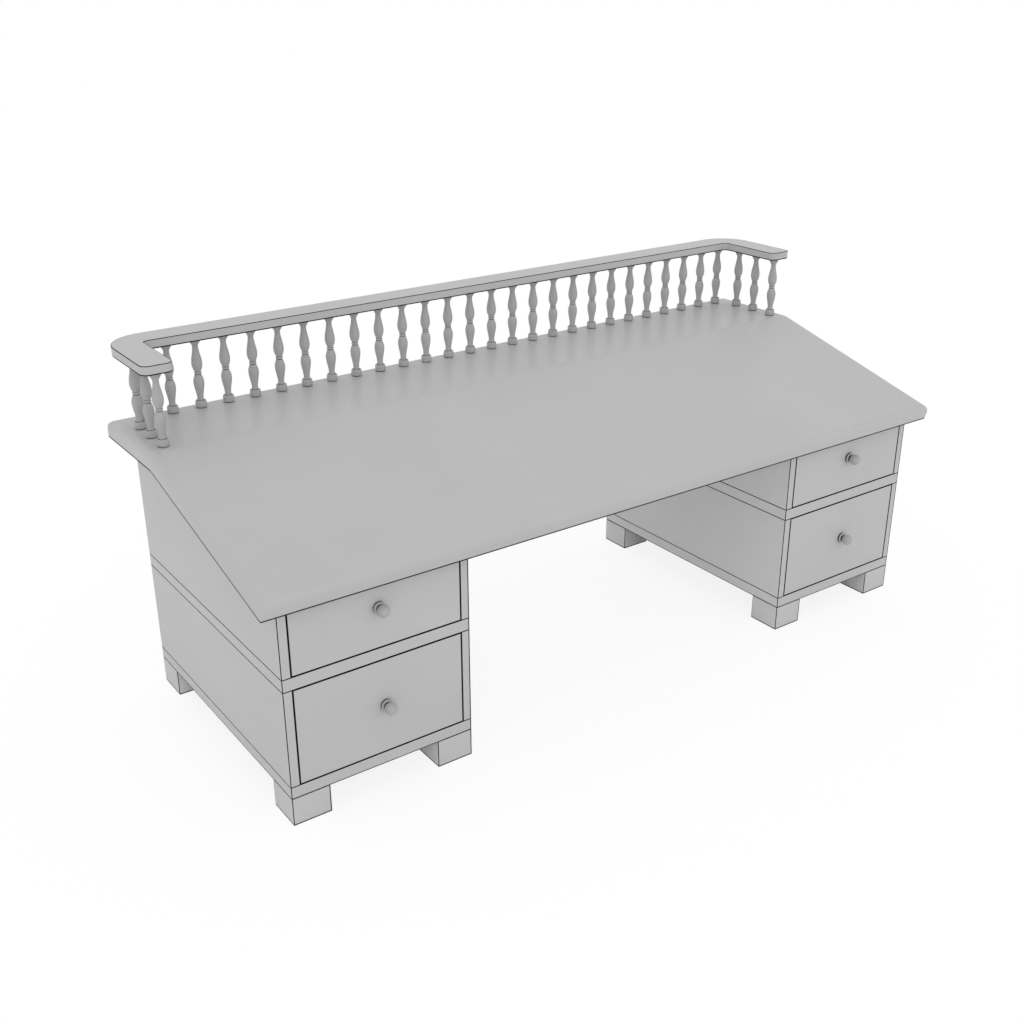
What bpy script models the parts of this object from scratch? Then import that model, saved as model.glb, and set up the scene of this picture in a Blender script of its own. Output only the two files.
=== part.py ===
"""Lap desk: two small pedestals with drawers, a sloping top and a gallery of turned spindles.

Metres, +Z up, +X to the sitter's right, +Y away from the sitter. The origin lies on the floor
under the middle of the whole desk. Depths are counted back from the fronts of the pedestals.
"""

import math

import bmesh
import bpy
from mathutils import Vector

# Fits
GLUE_GAP = 0.0003
RUNNING_GAP = 0.0005
DRAWER_REVEAL = 0.0008
NOSE_HEADROOM = 0.0012

# Pedestals
PEDESTAL_WIDTH = 0.190
PEDESTAL_DEPTH = 0.305
KNEEHOLE_WIDTH = 0.419
FOOT_SIDE = 0.038
FOOT_HEIGHT = 0.028
FOOT_DOWEL_RADIUS = 0.005
FOOT_DOWEL_LENGTH = 0.008
BOARD_THICKNESS = 0.0124
SIDE_THICKNESS = 0.009
BACK_THICKNESS = 0.006
LOWER_BAY_HEIGHT = 0.097
UPPER_BACK_HEIGHT = 0.1252
CLEAT_WIDTH = 0.012
CLEAT_HEIGHT = 0.012
CLEAT_SETBACK = 0.020

# Desk top
TOP_THICKNESS = 0.0176
TOP_SIDE_OVERHANG = 0.0188
TOP_FRONT_OVERHANG = 0.0122
TOP_REAR_OVERHANG = 0.020
SHELF_DEPTH = 0.1136
SLOPE_ANGLE = math.radians(14.64)
TOP_EDGE_RADIUS = 0.0077

# Gallery
RAIL_WIDTH = 0.0305
RAIL_THICKNESS = 0.0093
RAIL_ARM_LENGTH = 0.1122
RAIL_SIDE_SETBACK = 0.0038
RAIL_REAR_SETBACK = 0.0018
RAIL_OUTER_RADIUS = 0.038
RAIL_INNER_RADIUS = 0.006
RAIL_END_RADIUS = 0.0075
STRIP_WIDTH = 0.006
STRIP_HEIGHT = 0.004
STRIP_END = 0.006

# Spindles, with heights counted up from the shelf
SPINDLE_HEIGHT = 0.0722
SPINDLE_PITCH = 0.0297
ROW_END_INSET = 0.0286
ARM_END_INSET = 0.0117
ARM_SPINDLES = 3
BACK_GROUPS = ("back_left", "back_middle", "back_right")
SPINDLE_DRUM_RADIUS = 0.0057
SPINDLE_DRUM_HEIGHT = 0.0076
SPINDLE_DRUM_ROUND = 0.0015
SPINDLE_NECK_RADIUS = 0.0032
SPINDLE_BULB_RADIUS = 0.0054
SPINDLE_COLLAR_RADIUS = 0.0038
SPINDLE_COLLAR_HEIGHT = 0.0016
SPINDLE_COLLAR_LEVEL = 0.0359
SPINDLE_FILLET = 0.0008
LOWER_BULB_LEVEL = 0.0267
UPPER_BULB_LEVEL = 0.0455
UPPER_NECK_RADIUS = 0.0029
UPPER_NECK_LEVEL = 0.0636
SPINDLE_HEAD_RADIUS = 0.0053
SPINDLE_HEAD_LEVEL = 0.0676
PEG_RADIUS = 0.0025
PEG_LENGTH = 0.007

# Drawers
DRAWER_FRONT_THICKNESS = 0.012
DRAWER_SIDE_THICKNESS = 0.008
DRAWER_BACK_THICKNESS = 0.008
DRAWER_BOTTOM_THICKNESS = 0.004
DRAWER_BOTTOM_RAISE = 0.005
DRAWER_SIDE_DROP = 0.010
GROOVE_DEPTH = 0.004
LAP_DEPTH = 0.007

# Knobs, with reaches counted out from the drawer front and shifts to the sitter's right of a drawer's middle
LOWER_KNOB_LEVEL = 0.0501
LOWER_KNOB_SHIFT = 0.0035
UPPER_KNOB_LEVEL = 0.0407
UPPER_KNOB_SHIFT = 0.0008
KNOB_SPIGOT_RADIUS = 0.003
KNOB_SPIGOT_LENGTH = 0.009
KNOB_DISC_RADIUS = 0.0058
KNOB_DISC_THICKNESS = 0.0028
KNOB_DISC_ROUND = 0.001
KNOB_WAIST_RADIUS = 0.0032
KNOB_BALL_RADIUS = 0.0059
KNOB_BALL_REACH = 0.0091

# Fineness of the round pieces
SPINDLE_SIDES = 8
SPINDLE_STEPS = 3
DOWEL_SIDES = 12
KNOB_SIDES = 16
BALL_STEPS = 6
EDGE_STEPS = 4
SMOOTH_ANGLE = math.radians(40)
MERGE_DISTANCE = 1e-6
MATCH_DISTANCE = 1e-5

# Colours in linear light
PAINT_GREY = (0.51, 0.51, 0.51, 1.0)
PAINT_ROUGHNESS = 0.45
PALE_WOOD = (0.56, 0.41, 0.25, 1.0)
WOOD_ROUGHNESS = 0.65

# Levels of the boards
BASE_BOTTOM = FOOT_HEIGHT
BASE_TOP = BASE_BOTTOM + BOARD_THICKNESS
MIDDLE_BOTTOM = BASE_TOP + LOWER_BAY_HEIGHT
MIDDLE_TOP = MIDDLE_BOTTOM + BOARD_THICKNESS
SHELF_UNDERSIDE = MIDDLE_TOP + UPPER_BACK_HEIGHT
SHELF_TOP = SHELF_UNDERSIDE + TOP_THICKNESS
RAIL_BOTTOM = SHELF_TOP + SPINDLE_HEIGHT
RAIL_TOP = RAIL_BOTTOM + RAIL_THICKNESS

# Reaches of the whole desk
DESK_HALF = PEDESTAL_WIDTH + KNEEHOLE_WIDTH / 2
TOP_HALF = DESK_HALF + TOP_SIDE_OVERHANG
REAR_REACH = PEDESTAL_DEPTH + TOP_REAR_OVERHANG
BEND_DEPTH = REAR_REACH - SHELF_DEPTH
NOSE_REACH = (
    TOP_FRONT_OVERHANG
    + (TOP_THICKNESS - TOP_EDGE_RADIUS) * math.sin(SLOPE_ANGLE)
    + TOP_EDGE_RADIUS * (1 - math.cos(SLOPE_ANGLE))
)
KNOB_REACH = KNOB_BALL_REACH + KNOB_BALL_RADIUS
FRONT_Y = (max(NOSE_REACH, KNOB_REACH) - REAR_REACH) / 2
RAIL_HALF = TOP_HALF - RAIL_SIDE_SETBACK
RAIL_REAR = REAR_REACH - RAIL_REAR_SETBACK
RAIL_FRONT = RAIL_REAR - RAIL_ARM_LENGTH
DRAWER_REAR = PEDESTAL_DEPTH - BACK_THICKNESS - RUNNING_GAP


def underside(depth):
    """Height of the top's underside at a depth."""
    return SHELF_UNDERSIDE - max(0.0, BEND_DEPTH - depth) * math.tan(SLOPE_ANGLE)


def block(low, high):
    """A plain block between two corners."""
    low, high = Vector(low), Vector(high)
    shape = bmesh.new()
    bmesh.ops.create_cube(shape, size=1.0)
    bmesh.ops.scale(shape, vec=high - low, verts=shape.verts)
    bmesh.ops.translate(shape, vec=(low + high) / 2, verts=shape.verts)
    return shape


def prism(outline, along):
    """A closed outline swept in a straight line."""
    shape = bmesh.new()
    face = shape.faces.new([shape.verts.new(point) for point in outline])
    swept = bmesh.ops.extrude_face_region(shape, geom=[face])["geom"]
    far_end = [item for item in swept if isinstance(item, bmesh.types.BMVert)]
    bmesh.ops.translate(shape, vec=along, verts=far_end)
    bmesh.ops.recalc_face_normals(shape, faces=shape.faces)
    return shape


def turned(profile, sides):
    """A profile of (radius, height) points turned about the Z axis."""
    shape = bmesh.new()
    points = [shape.verts.new((radius, 0.0, height)) for radius, height in profile]
    lines = [shape.edges.new(pair) for pair in zip(points, points[1:])]
    bmesh.ops.spin(
        shape, geom=points + lines, cent=(0, 0, 0), axis=(0, 0, 1), angle=math.tau, steps=sides, use_merge=True
    )
    bmesh.ops.remove_doubles(shape, verts=shape.verts, dist=MERGE_DISTANCE)
    bmesh.ops.recalc_face_normals(shape, faces=shape.faces)
    return shape


def repeated(shape, places):
    """Copies of a shape at several places, in place of the first."""
    pattern = list(shape.verts) + list(shape.edges) + list(shape.faces)
    for place in places:
        copied = bmesh.ops.duplicate(shape, geom=pattern)["geom"]
        points = [item for item in copied if isinstance(item, bmesh.types.BMVert)]
        bmesh.ops.translate(shape, vec=place, verts=points)
    bmesh.ops.delete(shape, geom=[item for item in pattern if isinstance(item, bmesh.types.BMVert)])
    return shape


def round_edges(shape, edges, radius):
    """Round some edges of a shape with arcs."""
    bmesh.ops.bevel(
        shape, geom=edges, offset=radius, offset_type="OFFSET", segments=EDGE_STEPS,
        profile=0.5, affect="EDGES", clamp_overlap=False,
    )


def upright_edges(shape, places):
    """The upright edges of a shape at some (x, y) places."""
    found = []
    for edge in shape.edges:
        ends = [Vector(end.co[:2]) for end in edge.verts]
        for place in places:
            if all((end - Vector(place)).length < MATCH_DISTANCE for end in ends):
                found.append(edge)
    return found


def made(name, shape, origin, carrier):
    """An object with its own origin, from a shape in desk coordinates."""
    bmesh.ops.translate(shape, vec=-Vector(origin), verts=shape.verts)
    mesh = bpy.data.meshes.new(name)
    shape.to_mesh(mesh)
    shape.free()
    piece = bpy.data.objects.new(name, mesh)
    bpy.context.scene.collection.objects.link(piece)
    piece.location = Vector(origin)
    if carrier:
        piece.parent = carrier
        piece.location -= carrier.location
    return piece


def finished(name, shape, origin, colour=PAINT_GREY, roughness=PAINT_ROUGHNESS, carrier=None):
    """A sub-part with its own material."""
    piece = made(name, shape, origin, carrier)
    piece.data.shade_smooth()
    piece.data.set_sharp_from_angle(angle=SMOOTH_ANGLE)
    material = bpy.data.materials.new(name)
    material.use_nodes = True
    shader = material.node_tree.nodes["Principled BSDF"]
    shader.inputs["Base Color"].default_value = colour
    shader.inputs["Roughness"].default_value = roughness
    shader.inputs["Metallic"].default_value = 0.0
    piece.data.materials.append(material)
    return piece


def helper(name, shape, origin, carrier=None):
    """A shape that only cuts or joins others."""
    piece = made(name, shape, origin, carrier)
    piece.hide_render = True
    piece.display_type = "WIRE"
    return piece


def combine(piece, other, operation):
    """Cut another shape out of a piece, or join it on."""
    change = piece.modifiers.new(other.name, "BOOLEAN")
    change.operation = operation
    change.solver = "EXACT"
    change.object = other


def middle(low, high):
    """The point half-way between two corners."""
    return (Vector(low) + Vector(high)) / 2


def board(name, low, high, **finish):
    """A plain board between two corners, with its origin in its middle."""
    return finished(name, block(low, high), middle(low, high), **finish)


def feet(side, name, near_x, far_x):
    """Four block feet of a pedestal, each with a dowel on top, and the holes for the dowels."""
    dowel = [
        (0.0, BASE_BOTTOM + FOOT_DOWEL_LENGTH),
        (FOOT_DOWEL_RADIUS, BASE_BOTTOM + FOOT_DOWEL_LENGTH),
        (FOOT_DOWEL_RADIUS, BASE_BOTTOM - FOOT_HEIGHT / 2),
        (0.0, BASE_BOTTOM - FOOT_HEIGHT / 2),
    ]
    hole_radius = FOOT_DOWEL_RADIUS + GLUE_GAP
    hole = [
        (0.0, BASE_BOTTOM + FOOT_DOWEL_LENGTH + GLUE_GAP),
        (hole_radius, BASE_BOTTOM + FOOT_DOWEL_LENGTH + GLUE_GAP),
        (hole_radius, BASE_BOTTOM - FOOT_HEIGHT / 2),
        (0.0, BASE_BOTTOM - FOOT_HEIGHT / 2),
    ]
    places = []
    for end, centre_y in (
        ("front", FRONT_Y + FOOT_SIDE / 2),
        ("rear", FRONT_Y + PEDESTAL_DEPTH - FOOT_SIDE / 2),
    ):
        for edge, centre_x in (
            ("inner", side * (near_x + FOOT_SIDE / 2)),
            ("outer", side * (far_x - FOOT_SIDE / 2)),
        ):
            half = FOOT_SIDE / 2
            foot = finished(
                f"{name}_{end}_{edge}_foot",
                block((centre_x - half, centre_y - half, 0.0), (centre_x + half, centre_y + half, FOOT_HEIGHT)),
                (centre_x, centre_y, 0.0),
            )
            place = (centre_x, centre_y, 0.0)
            peg = helper(f"{name}_{end}_{edge}_dowel", repeated(turned(dowel, DOWEL_SIDES), [place]), place)
            combine(foot, peg, "UNION")
            places.append(place)
    return helper(f"{name}_dowel_holes", repeated(turned(hole, DOWEL_SIDES), places), (0, 0, 0))


def upper_side(name, low_x, high_x):
    """A side of the upper drawer's bay, cut to the slope of the top."""
    bottom = MIDDLE_TOP + GLUE_GAP
    outline = [
        (0.0, bottom),
        (PEDESTAL_DEPTH, bottom),
        (PEDESTAL_DEPTH, SHELF_UNDERSIDE - GLUE_GAP),
        (BEND_DEPTH, SHELF_UNDERSIDE - GLUE_GAP),
        (0.0, underside(0.0) - GLUE_GAP),
    ]
    points = [(low_x, FRONT_Y + depth, height) for depth, height in outline]
    finished(name, prism(points, (high_x - low_x, 0, 0)), ((low_x + high_x) / 2, FRONT_Y, bottom))


def cleat(name, low_x, high_x):
    """A strip under the slope that fixes the top to a side."""
    front, rear = CLEAT_SETBACK, BEND_DEPTH
    outline = [
        (front, underside(front) - GLUE_GAP - CLEAT_HEIGHT),
        (rear, underside(rear) - GLUE_GAP - CLEAT_HEIGHT),
        (rear, underside(rear) - GLUE_GAP),
        (front, underside(front) - GLUE_GAP),
    ]
    points = [(low_x, FRONT_Y + depth, height) for depth, height in outline]
    origin = ((low_x + high_x) / 2, FRONT_Y + front, underside(front))
    finished(name, prism(points, (high_x - low_x, 0, 0)), origin, PALE_WOOD, WOOD_ROUGHNESS)


def pedestal(side, name):
    """The fixed boards of one pedestal."""
    near_x, far_x = KNEEHOLE_WIDTH / 2, DESK_HALF
    low_x, high_x = sorted((side * near_x, side * far_x))
    rear_y = FRONT_Y + PEDESTAL_DEPTH
    base = board(
        f"{name}_base_board", (low_x, FRONT_Y, BASE_BOTTOM + GLUE_GAP), (high_x, rear_y, BASE_TOP)
    )
    combine(base, feet(side, name, near_x, far_x), "DIFFERENCE")
    board(f"{name}_middle_board", (low_x, FRONT_Y, MIDDLE_BOTTOM + GLUE_GAP), (high_x, rear_y, MIDDLE_TOP))
    for edge, outer_face, inward in (("inner", near_x, 1), ("outer", far_x, -1)):
        inner_face = outer_face + inward * SIDE_THICKNESS
        panel = sorted((side * outer_face, side * inner_face))
        lower_low = (panel[0], FRONT_Y, BASE_TOP + GLUE_GAP)
        board(f"{name}_lower_{edge}_side", lower_low, (panel[1], rear_y, MIDDLE_BOTTOM))
        upper_side(f"{name}_upper_{edge}_side", *panel)
        cleat_near = inner_face + inward * GLUE_GAP
        cleat(f"{name}_{edge}_cleat", *sorted((side * cleat_near, side * (cleat_near + inward * CLEAT_WIDTH))))
    back_low_x = low_x + SIDE_THICKNESS + GLUE_GAP
    back_high_x = high_x - SIDE_THICKNESS - GLUE_GAP
    back_y = rear_y - BACK_THICKNESS
    board(f"{name}_lower_back", (back_low_x, back_y, BASE_TOP + GLUE_GAP), (back_high_x, rear_y, MIDDLE_BOTTOM))
    upper_low = (back_low_x, back_y, MIDDLE_TOP + GLUE_GAP)
    board(f"{name}_upper_back", upper_low, (back_high_x, rear_y, SHELF_UNDERSIDE - GLUE_GAP))


def knob(name, place, carrier):
    """A turned knob: a disc, a waist and a ball, on a spigot."""
    waist_angle = math.asin(KNOB_WAIST_RADIUS / KNOB_BALL_RADIUS)
    profile = [
        (0.0, -KNOB_SPIGOT_LENGTH),
        (KNOB_SPIGOT_RADIUS, -KNOB_SPIGOT_LENGTH),
        (KNOB_SPIGOT_RADIUS, GLUE_GAP),
        (KNOB_DISC_RADIUS, GLUE_GAP),
        (KNOB_DISC_RADIUS, KNOB_DISC_THICKNESS - KNOB_DISC_ROUND),
        (KNOB_DISC_RADIUS - KNOB_DISC_ROUND, KNOB_DISC_THICKNESS),
        (KNOB_WAIST_RADIUS, KNOB_DISC_THICKNESS + KNOB_DISC_ROUND / 2),
    ]
    for step in range(BALL_STEPS + 1):
        angle = waist_angle + (math.pi - waist_angle) * step / BALL_STEPS
        reach = KNOB_BALL_REACH - KNOB_BALL_RADIUS * math.cos(angle)
        profile.append((KNOB_BALL_RADIUS * math.sin(angle), reach))
    profile[-1] = (0.0, KNOB_REACH)
    piece = finished(name, turned(profile, KNOB_SIDES), (0, 0, 0))
    hole_depth = KNOB_SPIGOT_LENGTH + GLUE_GAP
    hole_radius = KNOB_SPIGOT_RADIUS + GLUE_GAP
    bore = [(0.0, -hole_depth), (hole_radius, -hole_depth), (hole_radius, KNOB_REACH), (0.0, KNOB_REACH)]
    hole = helper(f"{name}_hole", turned(bore, KNOB_SIDES), (0, 0, 0))
    for part in (piece, hole):
        part.parent = carrier
        part.location = Vector(place) - carrier.location
        part.rotation_euler = (math.pi / 2, 0, 0)
    return hole


def drawer_front(name, low, high, carrier):
    """A front with a rebate at each end for the sides."""
    rebate_x = DRAWER_SIDE_THICKNESS + GLUE_GAP
    rebate_y = high[1] - LAP_DEPTH - GLUE_GAP
    outline = [
        (low[0], low[1]),
        (high[0], low[1]),
        (high[0], rebate_y),
        (high[0] - rebate_x, rebate_y),
        (high[0] - rebate_x, high[1]),
        (low[0] + rebate_x, high[1]),
        (low[0] + rebate_x, rebate_y),
        (low[0], rebate_y),
    ]
    points = [(x, y, low[2]) for x, y in outline]
    shape = prism(points, (0, 0, high[2] - low[2]))
    return finished(name, shape, carrier.location, carrier=carrier)


def drawer_side(name, outer_x, inward, low_z, high_z, carrier):
    """A side with a groove along its inner face for the bottom."""
    inner_x = outer_x + inward * DRAWER_SIDE_THICKNESS
    groove_x = inner_x - inward * (GROOVE_DEPTH + GLUE_GAP)
    groove_low = low_z + DRAWER_BOTTOM_RAISE - GLUE_GAP
    groove_high = low_z + DRAWER_BOTTOM_RAISE + DRAWER_BOTTOM_THICKNESS + GLUE_GAP
    front_y = FRONT_Y + DRAWER_FRONT_THICKNESS - LAP_DEPTH
    outline = [
        (outer_x, low_z),
        (inner_x, low_z),
        (inner_x, groove_low),
        (groove_x, groove_low),
        (groove_x, groove_high),
        (inner_x, groove_high),
        (inner_x, high_z),
        (outer_x, high_z),
    ]
    points = [(x, front_y, z) for x, z in outline]
    shape = prism(points, (0, FRONT_Y + DRAWER_REAR - front_y, 0))
    finished(name, shape, carrier.location, PALE_WOOD, WOOD_ROUGHNESS, carrier)


def drawer(name, centre_x, floor_z, front_top, knob_shift, knob_level):
    """A drawer that slides forward on the board under it, carried by an empty on its slide axis."""
    carrier = bpy.data.objects.new(f"{name}_slide", None)
    bpy.context.scene.collection.objects.link(carrier)
    carrier.location = (centre_x, FRONT_Y, floor_z)

    half = PEDESTAL_WIDTH / 2 - SIDE_THICKNESS - DRAWER_REVEAL
    front_low = (centre_x - half, FRONT_Y, floor_z + DRAWER_REVEAL)
    front_high = (centre_x + half, FRONT_Y + DRAWER_FRONT_THICKNESS, front_top)
    front = drawer_front(f"{name}_front", front_low, front_high, carrier)
    knob_place = (centre_x + knob_shift, FRONT_Y, floor_z + knob_level)
    combine(front, knob(f"{name}_knob", knob_place, carrier), "DIFFERENCE")

    low_z = floor_z + RUNNING_GAP
    high_z = front_top - DRAWER_SIDE_DROP
    drawer_side(f"{name}_left_side", centre_x - half, 1, low_z, high_z, carrier)
    drawer_side(f"{name}_right_side", centre_x + half, -1, low_z, high_z, carrier)

    inner_half = half - DRAWER_SIDE_THICKNESS
    bottom_half = inner_half + GROOVE_DEPTH
    inner_y = FRONT_Y + DRAWER_FRONT_THICKNESS
    rear_y = FRONT_Y + DRAWER_REAR
    bottom_z = low_z + DRAWER_BOTTOM_RAISE
    inside_z = bottom_z + DRAWER_BOTTOM_THICKNESS
    bottom_low = Vector((centre_x - bottom_half, inner_y - GROOVE_DEPTH, bottom_z))
    bottom_high = Vector((centre_x + bottom_half, rear_y, inside_z))
    wood = {"colour": PALE_WOOD, "roughness": WOOD_ROUGHNESS, "carrier": carrier}
    board(f"{name}_bottom", bottom_low, bottom_high, **wood)
    groove_room = Vector((GLUE_GAP, GLUE_GAP, GLUE_GAP))
    groove = block(bottom_low - groove_room, bottom_high + groove_room)
    combine(front, helper(f"{name}_front_groove", groove, carrier.location, carrier), "DIFFERENCE")
    back_half = inner_half - GLUE_GAP
    back_low = (centre_x - back_half, rear_y - DRAWER_BACK_THICKNESS, inside_z + GLUE_GAP)
    board(f"{name}_back", back_low, (centre_x + back_half, rear_y, high_z), **wood)


def between(start, end, eased):
    """Points between two (radius, height) points, without the first, by a law of how the radius goes over."""
    points = []
    for step in range(1, SPINDLE_STEPS + 1):
        share = step / SPINDLE_STEPS
        radius = start[0] + (end[0] - start[0]) * eased(share)
        points.append((radius, start[1] + (end[1] - start[1]) * share))
    return points


def long_swell(share):
    """Law of a long, slow swelling, hollow at the thin end and full at the thick one."""
    return (1 - math.cos(math.pi * share)) / 2


def filling(share):
    """Law of a short, round swelling, out from a crease."""
    return math.sin(math.pi / 2 * share)


def closing(share):
    """Law of a short, round swelling, in to a crease."""
    return 1 - math.cos(math.pi / 2 * share)


def spindle_profile():
    """Half outline of a spindle from the end of its lower peg to the end of its upper peg."""
    drum_shoulder = (SPINDLE_DRUM_RADIUS - SPINDLE_DRUM_ROUND, SPINDLE_DRUM_HEIGHT)
    lower_neck = (SPINDLE_NECK_RADIUS, SPINDLE_DRUM_HEIGHT + SPINDLE_FILLET)
    lower_bulb = (SPINDLE_BULB_RADIUS, LOWER_BULB_LEVEL)
    collar_low = SPINDLE_COLLAR_LEVEL - SPINDLE_COLLAR_HEIGHT / 2
    collar_high = SPINDLE_COLLAR_LEVEL + SPINDLE_COLLAR_HEIGHT / 2
    below_collar = (SPINDLE_NECK_RADIUS, collar_low - SPINDLE_FILLET)
    above_collar = (SPINDLE_NECK_RADIUS, collar_high + SPINDLE_FILLET)
    upper_bulb = (SPINDLE_BULB_RADIUS, UPPER_BULB_LEVEL)
    upper_neck = (UPPER_NECK_RADIUS, UPPER_NECK_LEVEL)
    strip_middle = SPINDLE_HEIGHT + STRIP_HEIGHT / 2
    return [
        (0.0, -PEG_LENGTH),
        (PEG_RADIUS, -PEG_LENGTH),
        (PEG_RADIUS, GLUE_GAP),
        (SPINDLE_DRUM_RADIUS, GLUE_GAP),
        (SPINDLE_DRUM_RADIUS, SPINDLE_DRUM_HEIGHT - SPINDLE_DRUM_ROUND),
        drum_shoulder,
        lower_neck,
        *between(lower_neck, lower_bulb, long_swell),
        *between(lower_bulb, below_collar, closing),
        (SPINDLE_COLLAR_RADIUS, collar_low),
        (SPINDLE_COLLAR_RADIUS, collar_high),
        above_collar,
        *between(above_collar, upper_bulb, filling),
        *between(upper_bulb, upper_neck, long_swell),
        (SPINDLE_HEAD_RADIUS, SPINDLE_HEAD_LEVEL),
        (SPINDLE_HEAD_RADIUS, SPINDLE_HEIGHT - GLUE_GAP),
        (PEG_RADIUS, SPINDLE_HEIGHT - GLUE_GAP),
        (PEG_RADIUS, strip_middle),
        (0.0, strip_middle),
    ]


def spindle_places():
    """Spindle centres of the back row, in groups, and of each arm, as (x, y, z) points on the shelf."""
    row_half = RAIL_HALF - ROW_END_INSET
    spaces = round(2 * row_half / SPINDLE_PITCH)
    row_y = FRONT_Y + RAIL_REAR - RAIL_WIDTH / 2
    back = [(2 * row_half * (i / spaces - 0.5), row_y, SHELF_TOP) for i in range(spaces + 1)]
    group_size = math.ceil(len(back) / len(BACK_GROUPS))
    rows = {name: back[i * group_size : (i + 1) * group_size] for i, name in enumerate(BACK_GROUPS)}
    first_y = FRONT_Y + RAIL_FRONT + ARM_END_INSET
    arm_x = RAIL_HALF - RAIL_WIDTH / 2
    rows["right"] = [(arm_x, first_y + i * SPINDLE_PITCH, SHELF_TOP) for i in range(ARM_SPINDLES)]
    rows["left"] = [(-x, y, z) for x, y, z in rows["right"]]
    return rows


def gallery():
    """The rail on its spindles, and the cutter for the pegs' holes in the top."""
    front_y, rear_y = FRONT_Y + RAIL_FRONT, FRONT_Y + RAIL_REAR
    inner_x, inner_y = RAIL_HALF - RAIL_WIDTH, rear_y - RAIL_WIDTH
    outer_corners = [(-RAIL_HALF, rear_y), (RAIL_HALF, rear_y)]
    inner_corners = [(inner_x, inner_y), (-inner_x, inner_y)]
    right_end = [(RAIL_HALF, front_y), (inner_x, front_y)]
    left_end = [(-inner_x, front_y), (-RAIL_HALF, front_y)]
    outline = outer_corners + right_end + inner_corners + left_end
    shape = prism([(x, y, RAIL_BOTTOM) for x, y in outline], (0, 0, RAIL_THICKNESS))
    round_edges(shape, upright_edges(shape, outer_corners), RAIL_OUTER_RADIUS)
    round_edges(shape, upright_edges(shape, inner_corners), RAIL_INNER_RADIUS)
    round_edges(shape, upright_edges(shape, right_end + left_end), RAIL_END_RADIUS)
    rail = finished("gallery_rail", shape, (0, rear_y, RAIL_BOTTOM))

    places = spindle_places()
    reach = Vector((STRIP_WIDTH / 2, STRIP_WIDTH / 2, 0))
    room = Vector((GLUE_GAP, GLUE_GAP, GLUE_GAP))
    below_rail = Vector((0, 0, RAIL_THICKNESS))
    for row, centres in places.items():
        ends = [Vector((x, y, RAIL_BOTTOM)) for x, y, z in (centres[0], centres[-1])]
        along = (ends[1] - ends[0]).normalized() * (STRIP_END - STRIP_WIDTH / 2)
        low = ends[0] - along - reach
        high = ends[1] + along + reach + Vector((0, 0, STRIP_HEIGHT))
        shape = repeated(turned(spindle_profile(), SPINDLE_SIDES), centres)
        spindles = finished(f"{row}_spindles", shape, centres[0])
        combine(spindles, helper(f"{row}_strip", block(low, high), low), "UNION")
        groove = block(low - room - below_rail, high + room)
        combine(rail, helper(f"{row}_groove", groove, low), "DIFFERENCE")

    hole_radius = PEG_RADIUS + GLUE_GAP
    hole_depth = PEG_LENGTH + GLUE_GAP
    hole = [(0.0, -hole_depth), (hole_radius, -hole_depth), (hole_radius, PEG_LENGTH), (0.0, PEG_LENGTH)]
    every_place = [place for centres in places.values() for place in centres]
    return helper("peg_holes", repeated(turned(hole, SPINDLE_SIDES), every_place), (0, 0, 0))


def desk_top(peg_holes):
    """The top: a flat shelf and a writing slope in one, rounded over along its upper edges."""
    lean = Vector((-math.sin(SLOPE_ANGLE), math.cos(SLOPE_ANGLE))) * TOP_THICKNESS
    front_low = Vector((-TOP_FRONT_OVERHANG, underside(-TOP_FRONT_OVERHANG)))
    outline = [
        front_low,
        (BEND_DEPTH, SHELF_UNDERSIDE),
        (REAR_REACH, SHELF_UNDERSIDE),
        (REAR_REACH, SHELF_TOP),
        (BEND_DEPTH - TOP_THICKNESS * math.tan(SLOPE_ANGLE / 2), SHELF_TOP),
        front_low + lean,
    ]
    points = [(-TOP_HALF, FRONT_Y + depth, height) for depth, height in outline]
    shape = prism(points, (2 * TOP_HALF, 0, 0))
    flat_enough = math.cos(SLOPE_ANGLE) - MATCH_DISTANCE
    rim = []
    for edge in shape.edges:
        rises = sorted(face.normal.z for face in edge.link_faces)
        if rises[1] > flat_enough and rises[0] < flat_enough:
            rim.append(edge)
    round_edges(shape, rim, TOP_EDGE_RADIUS)
    top = finished("desk_top", shape, (0, FRONT_Y + REAR_REACH, SHELF_UNDERSIDE))
    combine(top, peg_holes, "DIFFERENCE")


def build():
    for old in list(bpy.data.objects):
        bpy.data.objects.remove(old, do_unlink=True)
    desk_top(gallery())
    upper_front_top = underside(-TOP_FRONT_OVERHANG) - NOSE_HEADROOM
    for side, name in ((-1, "left"), (1, "right")):
        pedestal(side, name)
        centre_x = side * (DESK_HALF - PEDESTAL_WIDTH / 2)
        lower_top = MIDDLE_BOTTOM - DRAWER_REVEAL
        lower_name = f"lower_{name}_drawer"
        drawer(lower_name, centre_x, BASE_TOP, lower_top, LOWER_KNOB_SHIFT, LOWER_KNOB_LEVEL)
        upper_name = f"upper_{name}_drawer"
        drawer(upper_name, centre_x, MIDDLE_TOP, upper_front_top, UPPER_KNOB_SHIFT, UPPER_KNOB_LEVEL)


build()
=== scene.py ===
"""Looks of the lap desk: brush-painted boards with rubbed arrises, turned spindles and knobs, pine drawers.

Metres, +Z up, +X to the sitter's right, +Y away from the sitter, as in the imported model.
"""

import math

import bmesh
import bpy
from mathutils import Matrix, Vector


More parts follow.
